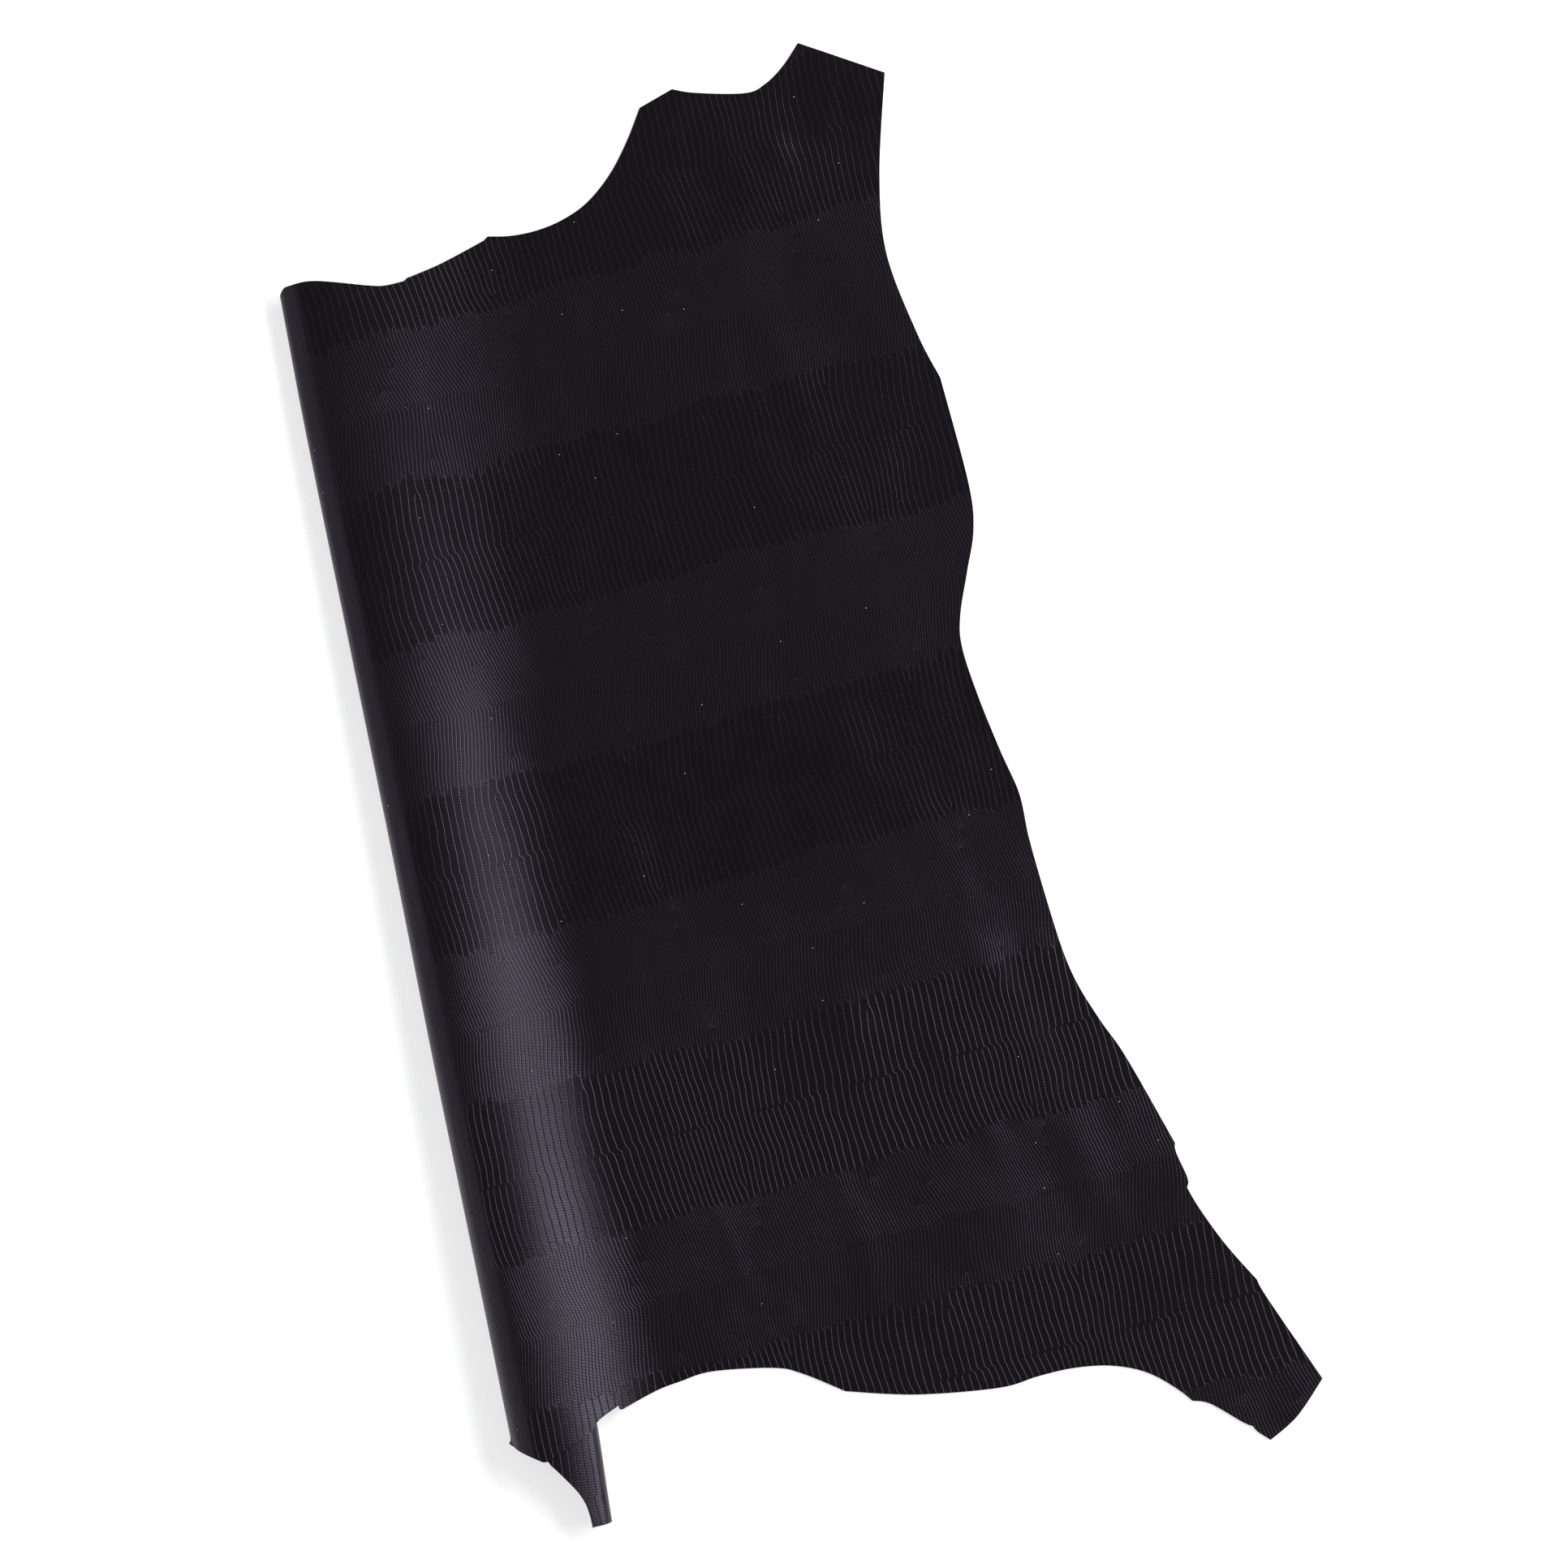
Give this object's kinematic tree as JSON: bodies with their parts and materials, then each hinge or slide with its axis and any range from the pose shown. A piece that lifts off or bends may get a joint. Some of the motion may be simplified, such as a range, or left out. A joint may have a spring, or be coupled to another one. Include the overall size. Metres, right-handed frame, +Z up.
{
  "type": "leather hide",
  "caption": "Side of black lizard-grain leather lying grain up, its left side rolled under and a leg of the hide poking out of the roll.",
  "frame": {"origin": "middle of the bounding box, on the surface that the hide rests on", "axes": "+X points across the hide, away from the roll; +Y points along the roll toward the neck; +Z is up, out of the grain side"},
  "size_m": [0.598, 1.0814, 0.0334],
  "materials": {
    "leather": "satin black, pressed lizard grain"
  },
  "bodies": {
    "root": {"hide": "leather"}
  },
  "joints": []
}
